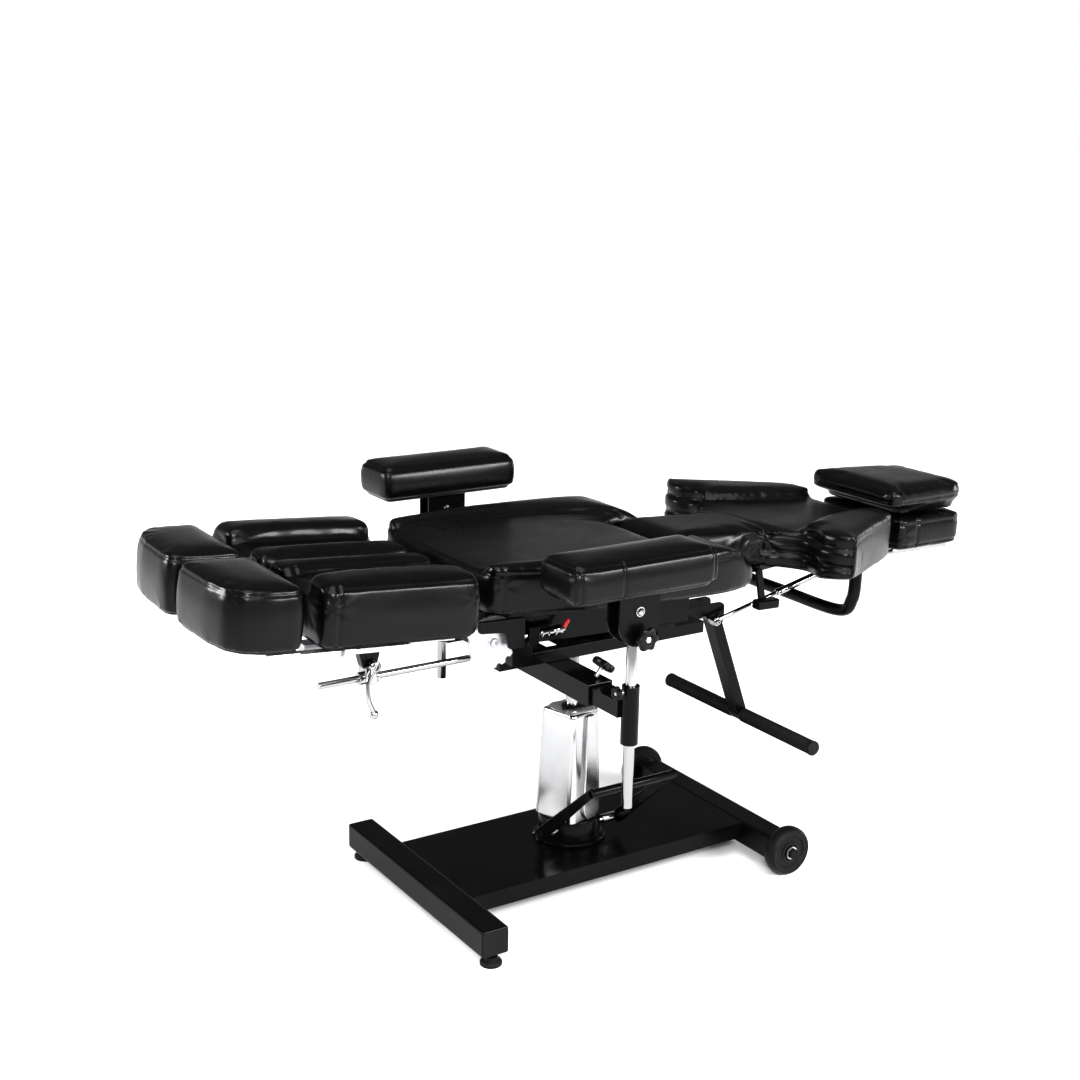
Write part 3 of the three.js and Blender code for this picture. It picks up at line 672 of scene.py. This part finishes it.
# ---- base ----
def make_base():
    for name, s in SIDES:
        lo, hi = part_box("wheel_" + name)
        c = (lo + hi) / 2
        r, half = (hi.z - lo.z) / 2, (hi.y - lo.y) / 2
        tyre = [(0.03, -half * 0.7), (0.032, -half * 0.86), (0.0365, -half * 0.82),
                (0.042, -half * 0.95), (r - 0.003, -half * 0.8), (r - 0.0006, -half * 0.45),
                (r, 0), (r - 0.0006, half * 0.45), (r - 0.003, half * 0.8), (0.042, half * 0.95),
                (0.0365, half * 0.82), (0.032, half * 0.86), (0.03, half * 0.7)]
        give(lathe("tyre_" + name, tyre, c, (0, s, 0), RUBBER, 64), "wheel_" + name, "rubber",
             "wheel_" + name)
        hub = [(0, -half * 0.9), (0.018, -half * 0.9), (0.03, -half * 0.78), (0.0299, half * 0.6),
               (0.027, half * 0.62), (0.0255, half * 0.5), (0.022, half * 0.52),
               (0.0205, half * 0.78), (0.0165, half * 0.84), (0.0150, half * 0.66),
               (0.0125, half * 0.68), (0.0115, half * 0.98), (0, half * 0.98)]
        give(lathe("hub_" + name, hub, c, (0, s, 0), PLASTIC, 48), "wheel_" + name, "rubber")
        face = Vector((c.x, c.y + s * half, c.z))
        give(hex_head("axle_nut_" + name, face, (0, s, 0), 0.0095, 0.0055, CHROME), "base",
             "chrome")
        give(lathe("axle_washer_" + name, [(0, 0), (0.0125, 0), (0.0125, 0.0012), (0, 0.0012)],
                   face - Vector((0, s * 0.0006, 0)), (0, s, 0), ZINC, 32), "base", "zinc")
        lo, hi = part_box("level_foot_" + name)
        c = Vector(((lo.x + hi.x) / 2, (lo.y + hi.y) / 2, 0))
        foot = [(0, 0), (0.0175, 0), (0.0192, 0.0016), (0.0192, 0.0062), (0.0182, 0.0078),
                (0.0135, 0.0098), (0.0118, 0.0115), (0.0118, 0.0165), (0.0075, 0.0172)]
        stud = [(0.0060 if k % 2 else 0.0052, 0.0172 + k * 0.0005) for k in range(11)]
        give(lathe("levelling_" + name, foot + stud + [(0, 0.0225)], c, (0, 0, 1), RUBBER, 40),
             "level_foot_" + name, "rubber", "level_foot_" + name)
        x0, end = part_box("base_front_bar")[0].x, 0.25
        cap = rounded([(x0 + 0.001, 0.024, 0.004), (x0 + 0.001, 0.07, 0.004),
                       (x0 + 0.0505, 0.07, 0.004), (x0 + 0.0505, 0.024, 0.004)], 3)
        give(prism("end_cap_" + name, cap, s * end, s * (end + 0.0022), WORLD, PLASTIC, 0.0008,
                   "Y"), "base", "black_plastic")


def make_pedal():
    """Pivot pins on the base, and two straight arms joined by the tread."""
    pivot = Vector((SX, PEDAL_Y, PEDAL_Z))
    collar = [(0, 0), (0.008, 0), (0.0085, 0.001), (0.0085, 0.032), (0.008, 0.033), (0, 0.033)]
    for k, s in (("left", -1), ("right", 1)):
        out = Vector((s, 0, 0))
        give(rod("pedal_pin_" + k, pivot + out * 0.045, pivot + out * 0.0955, 0.005, CHROME),
             "base", "chrome")
        give(lathe("pedal_collar_" + k, collar, pivot + out * 0.0535, out, CHROME, 32), "base",
             "chrome")
        give(hex_head("pedal_nut_" + k, pivot + out * 0.0934, out, 0.0088, 0.005, CHROME), "base",
             "chrome")
    arm = rounded([(-0.0165, 0.1008, 0.009), (-0.0285, 0.1135, 0.009), (-0.198, 0.2575, 0.004),
                   (-0.2055, 0.2445, 0.004), (-0.0395, 0.0878, 0.009), (-0.0270, 0.0865, 0.009)], 5)
    for k, s in (("left", -1), ("right", 1)):
        xs = sorted(SX + s * x for x in PEDAL_ARM_X)
        give(prism("pedal_arm_" + k, arm, *xs, WORLD, PAINT, 0.0011, "X"), "pedal",
             "painted_steel", *(["pedal"] if s < 0 else []))
    give(rod("pedal_tread", (SX - PEDAL_ARM_X[1], TREAD_Y, TREAD_Z),
             (SX + PEDAL_ARM_X[1], TREAD_Y, TREAD_Z), 0.0078, PAINT), "pedal", "painted_steel")


def make_pump():
    """Drum, pressed shroud with its lid and tongue, and the piston rod."""
    z0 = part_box("pump_base")[0].z
    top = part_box("pump_base")[1].z
    bore = 0.0135
    flange = [(bore, 0), (0.0655, 0), (0.0675, 0.0012), (0.068, 0.003), (0.068, 0.0055),
              (0.0665, 0.0072), (0.0615, 0.0078), (0.0592, 0.0095), (0.059, 0.013),
              (0.059, top - z0 - 0.004), (0.0575, top - z0 - 0.001), (0.055, top - z0),
              (bore, top - z0), (bore, 0)]
    give(lathe("pump_drum", flange, (SX, 0, z0), (0, 0, 1), PAINT, 72), "base", "painted_steel",
         "pump_base")
    # the shroud: a flared rounded column with a separate pressed lid
    lo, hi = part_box("pump_shroud")
    spin = Matrix.Translation((SX, 0, 0)) @ Matrix.Rotation(radians(14), 4, "Z")
    h = 0.041
    ring = rounded([(-h, -h, 0.011), (h, -h, 0.026), (h, h, 0.016), (-h, h, 0.011)], 8)
    levels = [(0.0, 1.17), (0.002, 1.18), (0.25, 1.127), (0.5, 1.085), (0.75, 1.043),
              (0.97, 1.004), (0.988, 0.995), (0.997, 0.975), (1.0, 0.94)]
    verts, faces = [], []
    for t, k in levels:
        z = lo.z + (hi.z - lo.z) * t
        verts += [spin @ Vector((x * k, y * k, z)) for x, y in ring]
    n = len(ring)
    for i in range(len(levels) - 1):
        for j in range(n):
            m = (j + 1) % n
            faces.append((i * n + j, i * n + m, (i + 1) * n + m, (i + 1) * n + j))
    inner = len(verts)
    for z in (lo.z, hi.z):
        for x, y in ring:
            d = Vector((x, y, 0)).normalized() * bore
            verts.append(spin @ Vector((d.x, d.y, z)))
    for j in range(n):
        m, last = (j + 1) % n, (len(levels) - 1) * n
        faces.append((j, m, inner + m, inner + j))
        faces.append((inner + j, inner + m, inner + n + m, inner + n + j))
        faces.append((inner + n + j, inner + n + m, last + m, last + j))
    give(piece("shroud_column", verts, faces, PRESSED), "base", "chrome", "pump_shroud")
    lid = [(bore, -0.002), (0.033, -0.002), (0.0355, -0.001), (0.0355, 0.001), (0.034, 0.0025),
           (bore, 0.0025), (bore, -0.002)]
    square = lambda a, r, h: 1 + 0.12 * (r > 0.02) * (1 - cos(4 * a))
    give(lathe("shroud_lid", lid, (SX, 0, hi.z), (0, 0, 1), ZINC, 72, square), "base", "zinc")
    # raised tongue with a rounded foot
    tongue = rounded([(-0.009, 0.205, 0.004), (-0.024, 0.012, 0.02), (0, -0.012, 0.02),
                      (0.024, 0.012, 0.02), (0.009, 0.205, 0.004)], 8)
    lean = spin @ Matrix.Translation((0.002, -h * 1.17 + 0.0035, lo.z)) \
        @ Matrix.Rotation(-0.033, 4, "X")
    keep = [(a, max(b, 0.0)) for a, b in tongue]
    ob = prism("shroud_tongue", keep, -0.0105, 0.002, lean, PRESSED, 0.005, "Y")
    ob.modifiers["edges"].segments = 4
    give(ob, "base", "chrome")
    give(lathe("rod_collar", [(0.0125, 0), (0.019, 0), (0.020, 0.001), (0.020, 0.004),
               (0.0175, 0.0055), (0.0125, 0.0055), (0.0125, 0)], (SX, 0, hi.z + 0.002),
               (0, 0, 1), PLASTIC, 40), "base", "black_plastic")
    for k, a in (("a", 200), ("b", 330)):
        at = (SX + 0.024 * cos(radians(a)), 0.024 * sin(radians(a)), hi.z + 0.002)
        give(bolt("lid_screw_" + k, at, (0, 0, 1), 0.0034, 0.0045, PLASTIC), "base",
             "black_plastic")
    lo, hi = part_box("pump_rod")
    give(rod("piston_rod", (SX, 0, lo.z), (SX, 0, hi.z), 0.012, CHROME, 48), "lift", "chrome",
         "pump_rod")
    give(lathe("rod_flange", [(0.0125, -0.012), (0.021, -0.012), (0.023, -0.010), (0.023, -0.002),
               (0.022, 0), (0.0125, 0)], (SX, 0, hi.z), (0, 0, 1), PAINT, 40), "lift",
         "painted_steel")


# ---- knobs, levers and bolts ----
def star(name, at, axis, stem, radius, thick, body, node):
    place_axis = Vector(axis).normalized()
    lobes = lambda a, r, h: 1.0 if r < radius * 0.45 else 0.9 + 0.1 * cos(6 * a)
    t = thick
    profile = [(0, stem), (radius * 0.5, stem), (radius * 0.86, stem + t * 0.06),
               (radius * 0.97, stem + t * 0.2), (radius, stem + t * 0.4), (radius, stem + t * 0.65),
               (radius * 0.96, stem + t * 0.85), (radius * 0.84, stem + t * 0.97),
               (radius * 0.6, stem + t), (radius * 0.42, stem + t * 0.93),
               (radius * 0.36, stem + t * 0.82), (0, stem + t * 0.82)]
    give(lathe(name + "_grip", profile, at, axis, PLASTIC, 60, lobes), body, "black_plastic", node)
    give(rod(name + "_stem", at, Vector(at) + place_axis * (stem + 0.002), 0.004, ZINC, 20), body,
         "zinc")
    give(hex_head(name + "_insert", Vector(at) + place_axis * (stem + t * 0.8), axis,
                  radius * 0.26, t * 0.14, ZINC), body, "zinc")


def make_knobs():
    for name, s in SIDES:
        up = FAR_RAISED if s > 0 else 0.0
        y = s * POST_Y
        star("slide_knob_" + name, (SX - 0.095, s * 0.208, 0.468), (0.62, 0, 0.78), 0.018, 0.022,
             0.014, "slide_knob_" + name, "slide_knob_" + name)
        star("sleeve_knob_" + name, (SX - 0.1153, y, 0.478), (-1, 0, 0), 0.008, 0.013, 0.009,
             "sleeve_knob_" + name, "sleeve_knob_" + name)
        star("tilt_knob_" + name, (SX - 0.095, y + s * 0.0183, 0.576 + up), (0, s, 0), 0.008,
             0.021, 0.013, "tilt_knob_" + name, "tilt_knob_" + name)
        # post
        lo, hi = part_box("arm_post_" + name)
        x = POST_X
        body = "arm_post_" + name
        give(rod("post_" + name, (x, y, lo.z), (x, y, 0.6 + up), 0.0095, CHROME, 40), body,
             "chrome", "arm_post_" + name)
        block = rounded([(x - 0.01, y - 0.01, 0.002), (x + 0.01, y - 0.01, 0.002),
                         (x + 0.01, y + 0.01, 0.002), (x - 0.01, y + 0.01, 0.002)], 2)
        give(prism("post_head_" + name, block, 0.588 + up, 0.632 + up, WORLD, PAINT),
             body, "painted_steel")
        give(rod("tilt_pin_" + name, (x, y - 0.0235, 0.62 + up), (x, y + 0.0235, 0.62 + up), 0.005,
                 CHROME, 24), body, "chrome")
        for e, k in ((-1, "in"), (1, "out")):
            give(bolt(f"tilt_bolt_{k}_{name}", (x, y + e * 0.0184, 0.62 + up), (0, e, 0), 0.0066,
                      0.006, CHROME), body, "chrome")
        # plunger
        z, yy = PLUNGER_Z, s * LEG_Y
        body = "plunger_" + name
        give(rod("plunger_pin_" + name, (SX - 0.2265, yy, z), (SX - 0.13, yy, z), 0.005, CHROME),
             body, "chrome", "leg_plunger_" + name)
        collar = [(0, 0), (0.0075, 0), (0.0085, 0.001), (0.0085, 0.005), (0.0062, 0.0062),
                  (0.0062, 0.0125), (0.0085, 0.0138), (0.0085, 0.022), (0.0066, 0.0235),
                  (0.0066, 0.028), (0.0085, 0.0292), (0.0085, 0.0405), (0.0075, 0.042), (0, 0.042)]
        give(lathe("plunger_collar_" + name, collar, (SX - 0.178, yy, z), (1, 0, 0), CHROME, 32),
             body, "chrome")
        give(rod("plunger_tip_" + name, (SX - 0.134, yy, z - 0.003), (SX - 0.122, yy, z + 0.016),
                 0.004, RED, 20), body, "black_plastic")
        # clamp lever
        body = "clamp_" + name
        path = smooth_path([(CLAMP_X, s * 0.181, CLAMP_Z), (SX - 0.516, s * 0.183, 0.526),
                            (SX - 0.518, s * 0.187, 0.498), (SX - 0.511, s * 0.189, 0.478)], 6)
        give(tube("clamp_arm_" + name, path, 0.0042, CHROME, 16), body, "chrome",
             "clamp_lever_" + name)
        boss = [(0, 0), (0.0085, 0), (0.0095, 0.001), (0.0095, 0.0105), (0.008, 0.012),
                (0.005, 0.0127), (0.0044, 0.009), (0, 0.009)]
        give(lathe("clamp_boss_" + name, boss, (CLAMP_X, s * 0.1734, CLAMP_Z), (0, s, 0), CHROME,
                   32), body, "chrome")
        ball = [(0.0078 * sin(pi * i / 10), -0.0078 * cos(pi * i / 10)) for i in range(11)]
        give(lathe("clamp_ball_" + name, ball, (SX - 0.510, s * 0.189, 0.473), (0, 0, 1), CHROME,
                   28), body, "chrome")
        body = "leg_" + name
        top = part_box("calf_bracket_" + name)[1].z
        x0 = LUG_X
        lug = rounded([(x0 - 0.021, top, 0), (x0 - 0.011, 0.541, 0.009), (x0 + 0.011, 0.541, 0.009),
                       (x0 + 0.021, top - 0.003, 0)], 6)
        give(prism("calf_lug_" + name, lug, s * 0.151, s * 0.169, WORLD, PAINT,
                   0.001, "Y"), body, "painted_steel", "calf_bracket_" + name)
        yoke = rounded([(x0 - 0.010, 0.5475, 0.003), (x0 - 0.010, 0.527, 0.012),
                        (x0 - 0.004, 0.5155, 0.01), (x0 + 0.012, 0.5155, 0.008),
                        (x0 + 0.013, 0.5295, 0.01), (x0 + 0.008, 0.5475, 0.003)], 5)
        give(prism("clamp_yoke_" + name, yoke, s * 0.1475, s * 0.1725, WORLD, CHROME,
                   0.002, "Y"), body, "chrome")
        sleeve = [(0.0056, 0), (0.0095, 0), (0.0105, 0.001), (0.0105, 0.033), (0.0095, 0.034),
                  (0.0056, 0.034), (0.0056, 0)]
        give(lathe("clamp_sleeve_" + name, sleeve, (x0 - 0.017, s * LEG_Y, GUIDE_Z), (1, 0, 0),
                   CHROME, 32), body, "chrome")
        lo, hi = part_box("leg_rod_" + name)
        give(rod("guide_rod_" + name, (lo.x, s * LEG_Y, GUIDE_Z), (hi.x, s * LEG_Y, GUIDE_Z), 0.0055,
                 CHROME, 32), "leg_" + name, "chrome", "leg_rod_" + name)
        give(bolt("quadrant_bolt_" + name, (QUADRANT_X, s * 0.163, QUADRANT_Z), (0, s, 0), 0.008, 0.007,
                  ZINC), "leg_" + name, "zinc")


def make_shadow_plates():
    """Black plates under the seat board, a painted shadow: they stand in for the seat's shadow falling
    over the upper part of each quadrant.
    """
    x, z = QUADRANT_X, QUADRANT_Z
    for name, s in SIDES:
        plate = rounded([(x - 0.036, z + 0.0440, 0.002), (x + 0.052, z + 0.0400, 0.002),
                         (x + 0.052, z - 0.012, 0.004), (x + 0.022, z - 0.012, 0.004),
                         (x + 0.018, z + 0.018, 0.004), (x - 0.036, z + 0.024, 0.004)], 3)
        # painted shadow: a black plate where the seat's shadow hides the top of the quadrant
        give(prism("quadrant_shadow_plate_" + name, plate, s * 0.172, s * 0.180, WORLD,
                   PAINT, 0.001, "Y"), "chair", "painted_steel")


def make_steel():
    w = -0.028
    path = smooth_path([(0.224, -0.186, w), (0.222, -0.184, -0.082), (0.222, -0.150, -0.113),
                        (0.222, 0, -0.116), (0.222, 0.150, -0.113), (0.222, 0.184, -0.082),
                        (0.224, 0.186, w)], 14)
    give(tube("rear_handle", [SEAT @ p for p in path], 0.012, PAINT, 28), "back",
         "painted_steel", "push_handle")
    # ribbed rubber over the stirrup bar
    lo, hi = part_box("t_bar")
    cz, cx = lo.z + 0.0125, hi.x - 0.0125
    for name, s in SIDES:
        prof = [(0, 0), (0.0132, 0)]
        count = 66
        for k in range(count):
            h = 0.003 + k * 0.003
            prof += [(0.0140, h), (0.0132, h + 0.0014)]
        end = 0.003 + count * 0.003
        prof += [(0.0142, end), (0.0146, end + 0.001), (0.0146, end + 0.006),
                 (0.013, end + 0.008), (0, end + 0.008)]
        give(lathe("stirrup_grip_" + name, prof, (cx, s * 0.0165, cz), (0, s, 0), RUBBER, 28),
             "t_bar", "rubber")
    # strut
    b, d = STRUT_TOP, STRUT_WAY
    give(rod("strut_cylinder", b + d * 0.008, b + d * 0.182, 0.0068, CHROME, 36), "strut_tube",
         "chrome", "strut_tube")
    give(lathe("strut_gland", [(0, 0), (0.0068, 0), (0.0074, 0.001), (0.0074, 0.007), (0.006, 0.01),
               (0, 0.01)], b + d * 0.176, d, CHROME, 32), "strut_tube", "chrome")
    eye = [(0.0044, -0.007), (0.0082, -0.007), (0.009, -0.006), (0.009, 0.006), (0.0082, 0.007),
           (0.0044, 0.007), (0.0044, -0.007)]
    give(lathe("strut_eye_upper", eye, b, (0, 1, 0), PAINT, 32), "strut_tube", "painted_steel")
    give(rod("strut_piston", b + d * 0.030, b + d * (STRUT_LONG - 0.002), 0.0045, CHROME, 28), "strut_rod",
         "chrome", "strut_rod")
    a = b + d * STRUT_LONG
    give(lathe("strut_eye_lower", [(0, -0.007), (0.0082, -0.007), (0.009, -0.006), (0.009, 0.006),
               (0.0082, 0.007), (0, 0.007)], a, (0, 1, 0), CHROME, 32), "strut_rod", "chrome")
    give(bolt("strut_bolt", a + Vector((0, -0.0068, 0)), (0, -1, 0), 0.0055, 0.0055, CHROME),
         "strut_rod", "chrome")
    give(rod("strut_spacer", a + Vector((0, 0.007, 0)), a + Vector((0, 0.0165, 0)), 0.0045,
             CHROME, 20), "strut_rod", "chrome")


def paint_nodes():
    finish = {"painted_steel": PAINT, "chrome": CHROME, "zinc": ZINC, "rubber": RUBBER,
              "black_plastic": PLASTIC, "leather": LEATHER}
    slots = {s["node"]: s["material_slot"] for s in frame["record"]["subparts"]}
    for name, ob in NODES.items():
        if not ob.material_slots:
            ob.data.materials.append(finish[slots[name]])
        for s in ob.material_slots:
            s.material = finish[slots[name]]
        if slots[name] != "leather":
            soften(ob, 0.0011, 2, weld=True)


# ---- studio ----
def area(name, at, toward, size, power):
    light = bpy.data.lights.new(name, "AREA")
    light.shape, light.size, light.size_y = "RECTANGLE", size[0], size[1]
    light.energy = power
    ob = bpy.data.objects.new(name, light)
    ob.location = at
    ob.rotation_euler = (Vector(toward) - Vector(at)).to_track_quat("-Z", "Y").to_euler()
    bpy.context.scene.collection.objects.link(ob)


def studio():
    floor = piece("studio_floor", [(-60, -60, 0), (60, -60, 0), (60, 60, 0), (-60, 60, 0)],
                  [(0, 1, 2, 3)], floor_white(), smooth=False)
    world = bpy.data.worlds.new("studio")
    bpy.context.scene.world = world
    world.use_nodes = True
    tree = world.node_tree
    bg = tree.nodes["Background"]
    coord = tree.nodes.new("ShaderNodeTexCoord")
    split = tree.nodes.new("ShaderNodeSeparateXYZ")
    ramp = tree.nodes.new("ShaderNodeValToRGB")
    tree.links.new(coord.outputs["Generated"], split.inputs[0])
    tree.links.new(split.outputs["Z"], ramp.inputs[0])
    tree.links.new(ramp.outputs[0], bg.inputs[0])
    e = ramp.color_ramp.elements
    e[0].position, e[0].color = 0.0, (1, 1, 1, 1)
    e[1].position, e[1].color = 1.0, (0.95, 0.95, 0.95, 1)
    for pos, v in ((0.09, 1.0), (0.14, 0.42), (0.45, 0.20), (0.75, 0.35)):
        k = e.new(pos)
        k.color = (v, v, v, 1)
    e[-1].color = (0.5, 0.5, 0.5, 1)
    bg.inputs[1].default_value = 1.0
    sun = bpy.data.lights.new("soft_sun", "SUN")
    sun.energy, sun.angle = 4.0, radians(60)
    ob = bpy.data.objects.new("soft_sun", sun)
    ob.rotation_euler = (radians(24), radians(-20), 0)
    bpy.context.scene.collection.objects.link(ob)
    area("front_box", (1.5, -3.2, 1.9), (-0.3, 0, 0.7), (2.4, 0.55), 230)
    area("left_box", (-3.4, 1.9, 1.5), (-0.6, 0, 0.7), (1.2, 1.0), 130)
    area("near_left_box", (-2.6, -3.4, 2.6), (-0.5, 0, 0.6), (1.2, 0.5), 190)
    area("right_box", (3.3, -0.4, 0.9), (0.5, 0, 0.65), (1.2, 0.8), 18)


def camera():
    cam = bpy.data.cameras.new("photo_camera")
    cam.sensor_width, cam.lens = 36, 53.93
    cam.clip_end = 300
    ob = bpy.data.objects.new("photo_camera", cam)
    bpy.context.scene.collection.objects.link(ob)
    az, el, roll = radians(-33.15), radians(14.80), radians(1.08)
    back = Vector((sin(az) * cos(el), -cos(az) * cos(el), sin(el)))
    right = (-back).cross(Vector((0, 0, 1))).normalized()
    up = right.cross(-back)
    r = cos(roll) * right + sin(roll) * up
    u = -sin(roll) * right + cos(roll) * up
    m = Matrix((r, u, back)).transposed().to_4x4()
    m.translation = Vector((-1.61 + SX, -2.345, 1.40))
    ob.matrix_world = m
    bpy.context.scene.camera = ob


camera()
studio()
bpy.context.scene.view_settings.view_transform = "Standard"
bpy.context.scene.view_settings.gamma = 0.8
paint_nodes()
make_base()
make_pump()
make_pedal()
make_knobs()
make_steel()
make_shadow_plates()
make_cushions()
